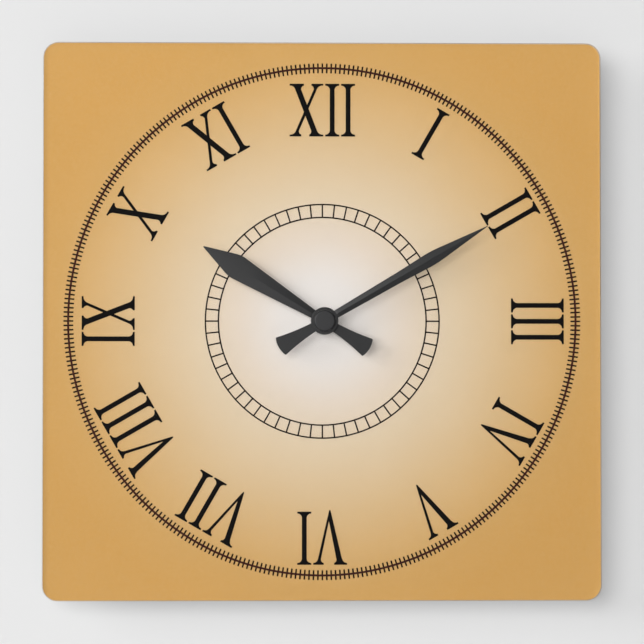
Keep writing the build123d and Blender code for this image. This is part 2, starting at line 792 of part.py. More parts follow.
with BuildPart() as seconds_wheel:
    seconds_blank = wheel_profile(seconds_teeth, seconds_module, fifth_pinion_teeth, seconds_phase)
    gear_blank(axis, seconds_blank, seconds_low, seconds_high)
    lighten(axis, 4.2, 1.3, 5, seconds_low, seconds_high)
    disc(1.1, seconds_high, seconds_pinion_low)
    seconds_leaves = pinion_profile(seconds_pinion_teeth, third_module, seconds_pinion_phase)
    gear_blank(axis, seconds_leaves, seconds_pinion_low, seconds_pinion_high)
    disc_at(axis, arbor_radius, seconds_low - 0.85, seconds_low)
    disc_at(axis, pivot_radius, seconds_low - 1.9, seconds_low - 0.85)
    disc_at(axis, seconds_arbor_radius, seconds_pinion_high, hour_wheel_high)
save(seconds_wheel.part, "seconds_wheel")

with BuildPart() as fifth_wheel:
    fifth_blank = wheel_profile(fifth_teeth, fifth_module, rotor_teeth, fifth_phase)
    fifth_low, fifth_high = third_low, third_high
    gear_blank(fifth_place, fifth_blank, fifth_low, fifth_high)
    lighten(fifth_place, 3.8, 1.1, 5, fifth_low, fifth_high)
    fifth_leaves = pinion_profile(fifth_pinion_teeth, seconds_module, fifth_pinion_phase)
    gear_blank(fifth_place, fifth_leaves, fifth_pinion_low, fifth_pinion_high)
    disc_at(fifth_place, 0.9, fifth_pinion_high, fifth_low)
    disc_at(fifth_place, arbor_radius, fifth_pinion_low - 0.65, fifth_pinion_low)
    disc_at(fifth_place, pivot_radius, fifth_pinion_low - 1.7, fifth_pinion_low - 0.65)
    disc_at(fifth_place, arbor_radius, fifth_high, bridge_low - 0.05)
    disc_at(fifth_place, pivot_radius, bridge_low - 0.05, bridge_high - 0.1)
save(fifth_wheel.part, "fifth_wheel")

with BuildPart() as rotor_pinion:
    rotor_leaves = pinion_profile(rotor_teeth, fifth_module, rotor_phase)
    gear_blank(rotor_place, rotor_leaves, rotor_pinion_low, rotor_pinion_high)
    disc_at(rotor_place, arbor_radius, magnet_low - 0.45, rotor_pinion_low)
    disc_at(rotor_place, 1.5, magnet_high, magnet_high + 0.5)
    disc_at(rotor_place, pivot_radius, magnet_low - 1.5, magnet_low - 0.45)
    disc_at(rotor_place, pivot_radius, rotor_pinion_high, bridge_high - 0.1)
save(rotor_pinion.part, "rotor_pinion")

with BuildPart() as rotor_magnet:
    disc_at(rotor_place, magnet_radius, magnet_low, magnet_high)
    disc_at(rotor_place, arbor_radius + 0.01, magnet_low, magnet_high, Mode.SUBTRACT)
save(rotor_magnet.part, "rotor_magnet")

with BuildPart() as train_bridge:
    bridge_left, bridge_right = -25.2, 25.8
    bridge_bottom, bridge_top = -10.4, 15.9
    bridge_middle = ((bridge_left + bridge_right) / 2, (bridge_bottom + bridge_top) / 2)
    with BuildSketch(level(bridge_low)):
        with Locations(bridge_middle):
            RectangleRounded(bridge_right - bridge_left, bridge_top - bridge_bottom, 2.5)
        with Locations(axis):
            Circle(seconds_arbor_radius + 0.25, mode=Mode.SUBTRACT)
        with Locations(third_place):
            Circle(2.2, mode=Mode.SUBTRACT)
        with Locations(setting_place):
            Circle(setting_arbor_radius + 0.06, mode=Mode.SUBTRACT)
        with Locations(fifth_place, rotor_place):
            Circle(pivot_hole, mode=Mode.SUBTRACT)
        with Locations((-18.5, -5.5), (20.5, 3.0)):
            RectangleRounded(6.0, 4.0, 1.0, mode=Mode.SUBTRACT)
    extrude(amount=bridge_high - bridge_low)
save(train_bridge.part, "train_bridge")


# ---------------------------------------------------------------- stepping motor and circuit

with BuildPart() as stator:
    with BuildSketch(level(stator_low)):
        with Locations(rotor_place):
            Circle(stator_eye)
        with BuildLine():
            Polyline((coil_left - 1.2, coil_row + 1.6), (coil_left - 1.2, coil_row - 5.0),
                     (rotor_place[0] - 4.2, rotor_place[1] + 1.6),
                     (rotor_place[0] - 0.6, rotor_place[1] + 3.6),
                     (coil_left + 2.4, coil_row - 4.2), (coil_left + 2.4, coil_row + 1.6), close=True)
        make_face()
        with BuildLine():
            Polyline((coil_right + 1.2, coil_row + 1.6), (coil_right + 1.2, coil_row - 5.0),
                     (rotor_place[0] + 4.2, rotor_place[1] + 1.6),
                     (rotor_place[0] + 0.6, rotor_place[1] + 3.6),
                     (coil_right - 2.4, coil_row - 4.2), (coil_right - 2.4, coil_row + 1.6), close=True)
        make_face()
        with Locations(rotor_place):
            Circle(stator_bore, mode=Mode.SUBTRACT)
            with PolarLocations(stator_bore, 2, start_angle=35):
                Circle(0.45, mode=Mode.SUBTRACT)
    extrude(amount=stator_high - stator_low)
save(stator.part, "stator")

with BuildPart() as coil_core:
    core_length = coil_right - coil_left + 2.4
    core_middle = ((coil_left + coil_right) / 2, coil_row)
    block(core_middle, core_length, 2.2, stator_high, core_high)
save(coil_core.part, "coil_core")

bobbin_left = coil_left + 2.8
bobbin_right = coil_right - 2.8
flange_width = 0.7


def along_x(x):
    """The plane across the coil at an x, with its origin on the coil's axis."""
    return Plane(origin=(x, -coil_height, coil_row), x_dir=(0, 1, 0), z_dir=(1, 0, 0))


with BuildPart() as coil_bobbin:
    with BuildSketch(along_x(bobbin_left)):
        Circle(bobbin_tube_radius)
    extrude(amount=bobbin_right - bobbin_left)
    for flange_x in (bobbin_left, bobbin_right - flange_width):
        with BuildSketch(along_x(flange_x)):
            RectangleRounded(2 * coil_flange_radius, 2 * coil_flange_radius, 1.2)
        extrude(amount=flange_width)
    with BuildSketch(along_x(bobbin_left)):
        Rectangle(core_high - stator_high + 0.04, 2.24)
    extrude(amount=bobbin_right - bobbin_left, mode=Mode.SUBTRACT)
save(coil_bobbin.part, "coil_bobbin")

with BuildPart() as coil_winding:
    with BuildSketch(along_x(bobbin_left + flange_width + 0.02)):
        Circle(winding_radius)
        Circle(bobbin_tube_radius + 0.02, mode=Mode.SUBTRACT)
    extrude(amount=bobbin_right - bobbin_left - 2 * flange_width - 0.04)
save(coil_winding.part, "coil_winding")

with BuildPart() as circuit_board:
    board_middle = ((board_left + board_right) / 2, (board_bottom + board_top) / 2)
    block(board_middle, board_right - board_left, board_top - board_bottom, board_low, board_high)
    disc_at((-24.4, 18.3), 0.6, board_low, board_high, Mode.SUBTRACT)
    disc_at((-3.6, 18.3), 0.6, board_low, board_high, Mode.SUBTRACT)
save(circuit_board.part, "circuit_board")

chip_place = (-16.5, 21.3)
chip_radius = 2.8
chip_height = 1.2
with BuildPart() as chip_cover:
    disc_at(chip_place, chip_radius, board_high, board_high + chip_height)
    fillet(chip_cover.faces().sort_by(Axis.Y)[0].edges(), chip_height - 0.2)
save(chip_cover.part, "chip_cover")

crystal_radius = 1.0
crystal_left, crystal_right = -11.0, -5.0
crystal_row = 23.8
with BuildPart() as quartz_crystal:
    with BuildSketch(Plane(origin=(crystal_left, -board_high - crystal_radius, crystal_row),
                           x_dir=(0, 1, 0), z_dir=(1, 0, 0))):
        Circle(crystal_radius)
    extrude(amount=crystal_right - crystal_left)
    fillet(quartz_crystal.faces().sort_by(Axis.X)[-1].edges(), 0.35)
save(quartz_crystal.part, "quartz_crystal")

wall_line = room_half - strip_thickness / 2 - 0.05
corner = 1.0
with BuildPart() as negative_contact:
    with BuildSketch(level(strip_low)):
        with BuildLine():
            FilletPolyline((-wall_line, -25.0), (battery_left - 0.2, battery_row), (-wall_line, -14.0),
                           (-wall_line, 26.1), (-22.0, 26.1), radius=corner)
        trace(line_width=strip_thickness)
    extrude(amount=strip_high - strip_low)
save(negative_contact.part, "negative_contact")

with BuildPart() as positive_contact:
    with BuildSketch(level(strip_low)):
        with BuildLine():
            FilletPolyline((wall_line, -25.0), (battery_nub_right + 0.2, battery_row), (wall_line, -14.0),
                           (wall_line, 26.4), (-8.0, 26.4), radius=corner)
        trace(line_width=strip_thickness)
    extrude(amount=strip_high - strip_low)
save(positive_contact.part, "positive_contact")


# ---------------------------------------------------------------- battery

def across_battery(x):
    """The plane across the battery at an x, with its origin on the battery's axis."""
    return Plane(origin=(x, -battery_height, battery_row), x_dir=(0, 1, 0), z_dir=(1, 0, 0))


def battery_disc(radius, left, right):
    """A disc of the battery between two x positions."""
    with BuildSketch(across_battery(left)) as base:
        Circle(radius)
    extrude(base.sketch, amount=right - left)


sleeve_thickness = 0.12
with BuildPart() as battery_can:
    battery_disc(battery_radius - sleeve_thickness, battery_left + 0.3, battery_body_right)
    battery_disc(4.6, battery_left, battery_left + 0.3)
    battery_disc(nub_radius, battery_body_right, battery_nub_right)
    fillet(battery_can.edges().filter_by(GeomType.CIRCLE).sort_by(Axis.X)[-1], 0.5)
save(battery_can.part, "battery_can")

with BuildPart() as battery_sleeve:
    with BuildSketch(across_battery(battery_left + 0.5)):
        Circle(battery_radius)
        Circle(battery_radius - sleeve_thickness, mode=Mode.SUBTRACT)
    extrude(amount=battery_body_right - 0.3 - battery_left - 0.5)
save(battery_sleeve.part, "battery_sleeve")


# ---------------------------------------------------------------- hands

# A hand points up its own plane's y. Its blade is a strip folded along the middle, so its
# section is a flat plate with a low ridge, and the tail behind the hub is a flat fan.

tail_radius = 25.2
tail_bulge = 0.6
tail_half_angle = radians(11.2)
tail_neck = 2.2
tail_corner = 0.7


def hand_plane(height, angle):
    """The plane of a hand at a height, turned clockwise from twelve by an angle in degrees."""
    turn = radians(angle)
    return Plane(origin=(0, -height, 0), x_dir=(cos(turn), 0, -sin(turn)), z_dir=(0, -1, 0))


def blade(height, angle, stations):
    """A ridged blade through stations of (distance from the axis, half width, ridge)."""
    turned = hand_plane(height, angle)
    sections = []
    for distance, half, ridge in stations:
        origin = turned.from_local_coords((0, distance, 0))
        across = turned.x_dir
        with BuildSketch(Plane(origin=origin, x_dir=across, z_dir=turned.y_dir * -1)) as section:
            with BuildLine():
                Polyline((-half, 0), (half, 0), (half, hand_thickness),
                         (0, hand_thickness + ridge), (-half, hand_thickness), close=True)
            make_face()
        sections.append(section.sketch)
    loft(sections, ruled=True)


def hub_and_tail(height, angle, hub):
    """The hand's round hub and the fan-shaped tail opposite the blade."""
    with BuildSketch(hand_plane(height, angle)) as base:
        Circle(hub)
        left = -pi / 2 - tail_half_angle
        right = -pi / 2 + tail_half_angle
        neck_y = -hub * 0.8
        with BuildLine():
            Line((-tail_neck, neck_y), (tail_neck, neck_y))
            end_right = polar(tail_radius, right)
            end_left = polar(tail_radius, left)
            bend_right = ((tail_neck + end_right[0]) / 2 - 0.42, (neck_y + end_right[1]) / 2)
            bend_left = (-bend_right[0], bend_right[1])
            ThreePointArc((tail_neck, neck_y), bend_right, end_right)
            ThreePointArc(end_right, (0, -tail_radius - tail_bulge), end_left)
            ThreePointArc(end_left, bend_left, (-tail_neck, neck_y))
        make_face()
        fillet(base.vertices().sort_by(Axis.Y)[:2], tail_corner)
    extrude(base.sketch, amount=hand_thickness)


minute_stations = [
    (5.4, 1.9, 0.02), (7.2, 2.0, hand_ridge), (42.5, 2.65, hand_ridge), (58.5, 3.3, hand_ridge),
    (61.4, 3.4, hand_ridge), (63.6, 3.2, hand_ridge), (92.2, 0.14, 0.08),
]
hour_stations = [
    (5.4, 1.9, 0.02), (7.2, 2.1, hand_ridge), (46.5, 5.55, hand_ridge), (50.0, 5.98, hand_ridge),
    (51.3, 6.03, hand_ridge), (52.6, 5.85, hand_ridge), (69.3, 0.3, 0.08),
]

with BuildPart() as minute_hand:
    blade(minute_hand_rear, minute_angle, minute_stations)
    hub_and_tail(minute_hand_rear, minute_angle, hub_radius)
    disc_at(axis, minute_arbor_radius + 0.02, minute_hand_rear, minute_hand_rear + 1, Mode.SUBTRACT)
save(minute_hand.part, "minute_hand")

with BuildPart() as hour_hand:
    blade(hour_hand_rear, hour_angle, hour_stations)
    hub_and_tail(hour_hand_rear, hour_angle, hub_radius - 0.4)
    disc_at(axis, hour_tube_radius + 0.02, hour_hand_rear, hour_hand_rear + 1, Mode.SUBTRACT)
save(hour_hand.part, "hour_hand")

with BuildPart() as hour_hand_collar:
    collar_rear = bushing_front + 0.1
    with BuildSketch(level(collar_rear)):
        Circle(3.4)
        Circle(hour_tube_radius + 0.02, mode=Mode.SUBTRACT)
    extrude(amount=hour_hand_rear - collar_rear)
save(hour_hand_collar.part, "hour_hand_collar")

cap_rear = minute_hand_rear + hand_thickness + 0.05
cap_thickness = 2.3
with BuildPart() as centre_cap:
    disc(cap_radius, cap_rear, cap_rear + cap_thickness)
    fillet(centre_cap.faces().sort_by(Axis.Y)[0].edges(), 0.9)
    disc_at(axis, minute_arbor_radius + 0.02, cap_rear, cap_rear + 0.9, Mode.SUBTRACT)
save(centre_cap.part, "centre_cap")
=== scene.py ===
import json
from math import asin, cos, pi, radians, sin

import bmesh
import bpy
from mathutils import Matrix, Vector

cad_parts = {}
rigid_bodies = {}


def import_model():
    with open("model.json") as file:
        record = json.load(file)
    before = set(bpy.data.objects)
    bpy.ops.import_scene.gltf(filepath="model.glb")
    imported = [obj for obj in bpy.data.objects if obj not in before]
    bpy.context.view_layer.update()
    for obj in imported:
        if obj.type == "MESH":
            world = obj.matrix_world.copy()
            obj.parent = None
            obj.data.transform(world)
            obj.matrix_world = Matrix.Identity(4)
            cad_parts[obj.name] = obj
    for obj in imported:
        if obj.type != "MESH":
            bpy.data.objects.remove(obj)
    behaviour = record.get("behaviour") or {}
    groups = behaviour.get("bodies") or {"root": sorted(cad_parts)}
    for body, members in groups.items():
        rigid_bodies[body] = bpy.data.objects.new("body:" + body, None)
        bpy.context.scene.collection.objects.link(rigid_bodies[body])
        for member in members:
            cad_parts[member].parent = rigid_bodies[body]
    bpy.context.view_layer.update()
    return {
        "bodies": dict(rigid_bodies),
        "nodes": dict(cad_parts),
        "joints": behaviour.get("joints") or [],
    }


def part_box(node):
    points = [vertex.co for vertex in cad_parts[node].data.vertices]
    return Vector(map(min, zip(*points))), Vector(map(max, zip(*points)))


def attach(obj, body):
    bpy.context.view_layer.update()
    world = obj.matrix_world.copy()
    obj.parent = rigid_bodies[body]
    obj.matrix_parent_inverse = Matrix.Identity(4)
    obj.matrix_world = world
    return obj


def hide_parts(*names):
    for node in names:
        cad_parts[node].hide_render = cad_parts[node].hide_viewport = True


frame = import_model()

# A square acrylic wall clock. Everything is in metres: the origin is on the wall behind the
# hands' axis, +X is to the right, +Z is up and the dial faces -Y.

MM = 0.001
nodes_of = frame["nodes"]
panel_low, panel_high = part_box("acrylic_panel")
panel_centre = (panel_low + panel_high) / 2
panel_front = panel_low.y
panel_rear = panel_high.y


# ---------------------------------------------------------------- colours and shader groups

def srgb(red, green, blue):
    """A linear colour from the 0 to 255 values of a paint chart."""
    def channel(value):
        share = value / 255
        return share / 12.92 if share <= 0.04045 else ((share + 0.055) / 1.055) ** 2.4
    return (channel(red), channel(green), channel(blue), 1.0)


def shader_group(name, inputs, outputs):
    """A new shader node group, with its input and output sockets by name."""
    group = bpy.data.node_groups.new(name, "ShaderNodeTree")
    for label, kind, value in inputs:
        socket = group.interface.new_socket(label, in_out="INPUT", socket_type=kind)
        socket.default_value = value
    for label, kind in outputs:
        group.interface.new_socket(label, in_out="OUTPUT", socket_type=kind)
    entry = group.nodes.new("NodeGroupInput")
    leave = group.nodes.new("NodeGroupOutput")
    return group, entry.outputs, leave.inputs


def feed(tree, sockets, values):
    """Gives each socket its value, which is another socket to link or a plain value."""
    for socket, value in zip(sockets, values):
        if isinstance(value, bpy.types.NodeSocket):
            tree.links.new(value, socket)
        else:
            socket.default_value = value


def math_node(tree, operation, first, second=0.5, third=0.0):
    """A Math node fed by sockets or plain numbers; gives its output."""
    node = tree.nodes.new("ShaderNodeMath")
    node.operation = operation
    feed(tree, node.inputs, (first, second, third))
    return node.outputs[0]


def mix_colours(tree, share, first, second):
    """A colour mix; each argument is a socket or a plain value."""
    node = tree.nodes.new("ShaderNodeMix")
    node.data_type = "RGBA"
    colour_sockets = [socket for socket in node.inputs if socket.type == "RGBA"]
    feed(tree, [node.inputs[0], *colour_sockets], (share, first, second))
    return next(socket for socket in node.outputs if socket.type == "RGBA")


def mix_shaders(tree, share, first, second):
    """A mix of two shader nodes by a socket; gives the Mix Shader node."""
    node = tree.nodes.new("ShaderNodeMixShader")
    tree.links.new(share, node.inputs[0])
    tree.links.new(first.outputs[0], node.inputs[1])
    tree.links.new(second.outputs[0], node.inputs[2])
    return node


def noise(tree, vector, scale, detail=2.0):
    """A noise texture on given coordinates; gives its factor, which averages a half."""
    node = tree.nodes.new("ShaderNodeTexNoise")
    node.inputs["Detail"].default_value = detail
    feed(tree, [node.inputs["Vector"], node.inputs["Scale"]], (vector, scale))
    return node.outputs["Fac"]


def object_place(tree):
    """The place of a surface point in the clock's own frame."""
    return tree.nodes.new("ShaderNodeTexCoord").outputs["Object"]


FINISH_INPUTS = [
    ("Colour", "NodeSocketColor", (0.5, 0.5, 0.5, 1)),
    ("Second Colour", "NodeSocketColor", (0.5, 0.5, 0.5, 1)),
    ("Patch Scale", "NodeSocketFloat", 60.0),
    ("Grain Scale", "NodeSocketFloat", 2500.0),
    ("Roughness", "NodeSocketFloat", 0.5),
    ("Roughness Spread", "NodeSocketFloat", 0.1),
    ("Stretch", "NodeSocketVector", (1, 1, 1)),
]
FINISH_OUTPUTS = [
    ("Colour", "NodeSocketColor"),
    ("Roughness", "NodeSocketFloat"),
    ("Height", "NodeSocketFloat"),
]


# A noise of 0 to 1 becomes a share of the second colour: the gain, and what is added after it.
PATCH_CONTRAST = (1.6, -0.3)
GRAIN_CONTRAST = (0.5, -0.25)


def end_finish(group, inputs, outputs, share, patches, detail):
    """Ends a finish group: the colours blended by a share, the roughness, and the height."""
    clamped = math_node(group, "MINIMUM", math_node(group, "MAXIMUM", share, 0.0), 1.0)
    colour = mix_colours(group, clamped, inputs["Colour"], inputs["Second Colour"])
    swing = math_node(group, "SUBTRACT", math_node(group, "ADD", patches, detail), 1.0)
    spread = inputs["Roughness Spread"]
    roughness = math_node(group, "MULTIPLY_ADD", swing, spread, inputs["Roughness"])
    group.links.new(colour, outputs["Colour"])
    group.links.new(roughness, outputs["Roughness"])
    group.links.new(detail, outputs["Height"])


def make_grain_finish():
    """Plastic, paint and rubber: soft patches of a second colour under a fine grain."""
    group, inputs, outputs = shader_group("grain_finish", FINISH_INPUTS, FINISH_OUTPUTS)
    stretched = group.nodes.new("ShaderNodeVectorMath")
    stretched.operation = "MULTIPLY"
    group.links.new(object_place(group), stretched.inputs[0])
    group.links.new(inputs["Stretch"], stretched.inputs[1])
    patches = noise(group, stretched.outputs[0], inputs["Patch Scale"], 3.0)
    grain = noise(group, stretched.outputs[0], inputs["Grain Scale"], 4.0)
    patch_share = math_node(group, "MULTIPLY_ADD", patches, *PATCH_CONTRAST)
    grain_share = math_node(group, "MULTIPLY_ADD", grain, *GRAIN_CONTRAST)
    share = math_node(group, "ADD", patch_share, grain_share)
    end_finish(group, inputs, outputs, share, patches, grain)
    return group


def make_turned_finish():
    """Turned metal: fine rings about the hands' axis, over soft tarnish."""
    group, inputs, outputs = shader_group("turned_finish", FINISH_INPUTS, FINISH_OUTPUTS)
    place = object_place(group)
    parts = group.nodes.new("ShaderNodeSeparateXYZ")
    group.links.new(place, parts.inputs[0])
    across = math_node(group, "MULTIPLY", parts.outputs["X"], parts.outputs["X"])
    up = math_node(group, "MULTIPLY", parts.outputs["Z"], parts.outputs["Z"])
    radius = math_node(group, "SQRT", math_node(group, "ADD", across, up))
    ring_place = group.nodes.new("ShaderNodeCombineXYZ")
    group.links.new(radius, ring_place.inputs["X"])
    group.links.new(parts.outputs["Y"], ring_place.inputs["Y"])
    rings = noise(group, ring_place.outputs[0], inputs["Grain Scale"], 2.0)
    patches = noise(group, place, inputs["Patch Scale"], 3.0)
    share = math_node(group, "MULTIPLY_ADD", patches, *PATCH_CONTRAST)
    end_finish(group, inputs, outputs, share, patches, rings)
    return group


grain_finish = make_grain_finish()
turned_finish = make_turned_finish()


def new_material(name):
    """An empty node material with its Principled shader."""
    material = bpy.data.materials.new(name)
    material.use_nodes = True
    return material, material.node_tree, material.node_tree.nodes["Principled BSDF"]


def add_bump(tree, shader, height, distance, strength=1.0):
    """A bump of a real depth, in metres, on the shader's normal."""
    bump = tree.nodes.new("ShaderNodeBump")
    bump.inputs["Distance"].default_value = distance
    bump.inputs["Strength"].default_value = strength
    tree.links.new(height, bump.inputs["Height"])
    tree.links.new(bump.outputs["Normal"], shader.inputs["Normal"])


def finished(name, finish, colour, second, roughness, spread=0.1, patch=60.0, grain=2500.0,
             depth=0.00001, stretch=(1, 1, 1), metallic=0.0, specular=0.5, coat=0.0):
    """A material made of one finish group: colours, roughness and a real bump depth."""
    material, tree, shader = new_material(name)
    group = tree.nodes.new("ShaderNodeGroup")
    group.node_tree = finish
    group.inputs["Colour"].default_value = colour
    group.inputs["Second Colour"].default_value = second
    group.inputs["Patch Scale"].default_value = patch
    group.inputs["Grain Scale"].default_value = grain
    group.inputs["Roughness"].default_value = roughness
    group.inputs["Roughness Spread"].default_value = spread
    group.inputs["Stretch"].default_value = stretch
    tree.links.new(group.outputs["Colour"], shader.inputs["Base Color"])
    tree.links.new(group.outputs["Roughness"], shader.inputs["Roughness"])
    add_bump(tree, shader, group.outputs["Height"], depth)
    shader.inputs["Metallic"].default_value = metallic
    shader.inputs["Specular IOR Level"].default_value = specular
    shader.inputs["Coat Weight"].default_value = coat
    return material


def wear(node, material):
    """Gives a CAD node's slots a material."""
    for slot in nodes_of[node].material_slots:
        slot.material = material


# ---------------------------------------------------------------- printed dial

def dial_radius(tree):
    """The distance of a surface point from the plate's centre, in the dial's plane."""
    offset = tree.nodes.new("ShaderNodeVectorMath")
    offset.operation = "SUBTRACT"
    tree.links.new(object_place(tree), offset.inputs[0])
    offset.inputs[1].default_value = (panel_centre.x, 0, panel_centre.z)
    flat = tree.nodes.new("ShaderNodeVectorMath")
    flat.operation = "MULTIPLY"
    tree.links.new(offset.outputs[0], flat.inputs[0])
    flat.inputs[1].default_value = (1, 0, 1)
    length = tree.nodes.new("ShaderNodeVectorMath")
    length.operation = "LENGTH"
    tree.links.new(flat.outputs[0], length.inputs[0])
    return length.outputs["Value"]


# The background runs from a cool cream at the centre to gold beyond the numerals: each stop
# is a radius in millimetres and its colour.
DIAL_STOPS = [
    (0, (243, 239, 236)), (20, (239, 233, 228)), (40, (235, 220, 203)), (61, (231, 210, 178)),
    (93, (224, 191, 141)), (112, (221, 180, 118)), (130, (215, 167, 92)), (150, (214, 163, 83)),
]
DIAL_REACH = 150
# Painted light: the print is made a little paler towards its top left, as if more light fell there:
# the change in tone per metre.
DIAL_PAINTED_LIGHT_UP = 0.27
DIAL_PAINTED_LIGHT_LEFT = 0.10
# Painted shade: behind the plate's rounded edges the print is made darker, standing in for the
# darkening that the edges' refraction gives: the axis, whether it is the low side, how much darker
# at the very edge, and how far in millimetres it reaches.
EDGE_PAINTED_SHADE_BANDS = [
    ("X", True, 0.16, 3.0),
    ("X", False, 0.06, 2.4),
    ("Z", False, 0.08, 1.6),
    ("Z", True, 0.03, 1.6),
]
EDGE_SHADE_SOFTNESS = 0.3
# Soft clouds move the stops in and out by this share of the reach, and fine fibres pale the print.
CLOUD_SCALE = 28.0
CLOUD_SHARE = 0.05
FIBRE_SCALE = 900.0
FIBRE_SHARE = 0.10
FIBRE_COLOUR = srgb(250, 240, 220)
INK_BUMP = 0.004 * MM


def add_painted_dial_light(tree):
    """Painted light and shade on the print: paler towards the top left, as if more light fell
    there, times painted shade in bands behind the plate's rounded edges.
    """
    parts = tree.nodes.new("ShaderNodeSeparateXYZ")
    tree.links.new(object_place(tree), parts.inputs[0])
    # Painted light: the print is made paler upwards and towards the left.
    tone = math_node(tree, "MULTIPLY_ADD", parts.outputs["Z"], DIAL_PAINTED_LIGHT_UP, 1.0)
    tone = math_node(tree, "MULTIPLY_ADD", parts.outputs["X"], -DIAL_PAINTED_LIGHT_LEFT, tone)
    # Painted shade: a darker band along each edge of the plate.
    for axis, low_side, depth, reach in EDGE_PAINTED_SHADE_BANDS:
        side = panel_low if low_side else panel_high
        sign = 1 if low_side else -1
        edge = side["XYZ".index(axis)]
        inward = math_node(tree, "MULTIPLY_ADD", parts.outputs[axis], sign, -sign * edge)
        share = math_node(tree, "DIVIDE", inward, reach * MM)
        fade = math_node(tree, "SMOOTH_MIN", share, 1.0, EDGE_SHADE_SOFTNESS)
        painted_edge_shade = math_node(tree, "MULTIPLY_ADD", fade, depth, 1 - depth)
        tone = math_node(tree, "MULTIPLY", tone, painted_edge_shade)
    return tone


def make_dial_print():
    """The printed background: rings of colour that run into one another, under fine fibres, with
    painted light and shade laid over them.
    """
    material, tree, shader = new_material("dial_print")
    radius = math_node(tree, "DIVIDE", dial_radius(tree), DIAL_REACH * MM)
    cloud = noise(tree, object_place(tree), CLOUD_SCALE, 4.0)
    drift = math_node(tree, "MULTIPLY_ADD", cloud, CLOUD_SHARE, -CLOUD_SHARE / 2)
    ramp = tree.nodes.new("ShaderNodeValToRGB")
    stops = ramp.color_ramp.elements
    while len(stops) < len(DIAL_STOPS):
        stops.new(0.5)
    for stop, (distance, colour) in zip(stops, DIAL_STOPS):
        stop.position = distance / DIAL_REACH
        stop.color = srgb(*colour)
    tree.links.new(math_node(tree, "ADD", radius, drift), ramp.inputs[0])
    fibre = noise(tree, object_place(tree), FIBRE_SCALE, 5.0)
    paleness = math_node(tree, "MULTIPLY", fibre, FIBRE_SHARE)
    paled = mix_colours(tree, paleness, ramp.outputs["Color"], FIBRE_COLOUR)
    shaded = tree.nodes.new("ShaderNodeVectorMath")
    shaded.operation = "SCALE"
    tree.links.new(paled, shaded.inputs[0])
    tree.links.new(add_painted_dial_light(tree), shaded.inputs["Scale"])
    tree.links.new(shaded.outputs[0], shader.inputs["Base Color"])
    rough = math_node(tree, "MULTIPLY_ADD", fibre, 0.2, 0.55)
    tree.links.new(rough, shader.inputs["Roughness"])
    add_bump(tree, shader, fibre, INK_BUMP)
    shader.inputs["Specular IOR Level"].default_value = 0.2
    return material


RING_RADIUS = 124.2 * MM
RING_HALF_WIDTH = 0.56 * MM
INK_SPECULAR = 0.12


def make_track_ink():
    """The minute track's ink: a reddish brown ring crossed by near black ticks."""
    material, tree, shader = new_material("track_ink")
    past_ring = math_node(tree, "SUBTRACT", dial_radius(tree), RING_RADIUS)
    off_ring = math_node(tree, "ABSOLUTE", past_ring)
    on_ring = math_node(tree, "LESS_THAN", off_ring, RING_HALF_WIDTH)
    blot = noise(tree, object_place(tree), 1500.0, 3.0)
    ring = mix_colours(tree, blot, srgb(84, 42, 36), srgb(66, 34, 33))
    tick = mix_colours(tree, blot, srgb(30, 20, 17), srgb(22, 16, 15))
    tree.links.new(mix_colours(tree, on_ring, tick, ring), shader.inputs["Base Color"])
    rough = math_node(tree, "MULTIPLY_ADD", blot, 0.25, 0.4)
    tree.links.new(rough, shader.inputs["Roughness"])
    add_bump(tree, shader, blot, INK_BUMP)
    shader.inputs["Specular IOR Level"].default_value = INK_SPECULAR
    return material


wear("background_print", make_dial_print())
wear("white_backing", finished(
    "white_backing_ink", grain_finish, srgb(236, 236, 234), srgb(226, 226, 223),
    roughness=0.45, spread=0.12, patch=18, grain=1400, depth=0.012 * MM))
wear("hour_numerals", finished(
    "numeral_ink", grain_finish, srgb(24, 21, 20), srgb(18, 16, 16),
    roughness=0.5, spread=0.15, patch=90, grain=1800, depth=0.004 * MM, specular=0.12))
wear("minute_track", make_track_ink())
wear("inner_track", finished(
    "inner_track_ink", grain_finish, srgb(40, 28, 24), srgb(30, 22, 20),
    roughness=0.5, spread=0.15, patch=90, grain=1800, depth=0.004 * MM, specular=0.12))


# ---------------------------------------------------------------- metals and plastics

brass_bright = finished(
    "brass_bright", turned_finish, srgb(214, 178, 106), srgb(190, 148, 80),
    roughness=0.26, spread=0.16, patch=220, grain=9000, depth=0.006 * MM, metallic=1.0)
brass_dull = finished(
    "brass_dull", turned_finish, srgb(196, 158, 92), srgb(160, 122, 66),
    roughness=0.34, spread=0.2, patch=260, grain=7000, depth=0.008 * MM, metallic=1.0)
zinc_plate = finished(
    "zinc_plate", grain_finish, srgb(196, 198, 196), srgb(172, 176, 178),
    roughness=0.32, spread=0.18, patch=240, grain=2600, depth=0.006 * MM, stretch=(1, 1, 0.12),
    metallic=1.0)
case_plastic = finished(
    "case_plastic", grain_finish, srgb(34, 34, 35), srgb(27, 27, 28),
    roughness=0.52, spread=0.16, patch=45, grain=3600, depth=0.03 * MM, specular=0.45)
cover_plastic = finished(
    "cover_plastic", grain_finish, srgb(38, 38, 39), srgb(31, 31, 32),
    roughness=0.58, spread=0.14, patch=40, grain=3000, depth=0.04 * MM, specular=0.4)
knob_plastic = finished(
    "knob_plastic", grain_finish, srgb(46, 46, 47), srgb(38, 38, 39),
    roughness=0.42, spread=0.12, patch=60, grain=4000, depth=0.015 * MM)
washer_rubber = finished(
    "washer_rubber", grain_finish, srgb(30, 30, 30), srgb(42, 41, 40),
    roughness=0.75, spread=0.12, patch=150, grain=2200, depth=0.03 * MM, specular=0.3)
gear_white = finished(
    "gear_white", grain_finish, srgb(232, 230, 220), srgb(220, 216, 204),
    roughness=0.4, spread=0.1, patch=120, grain=3000, depth=0.008 * MM)
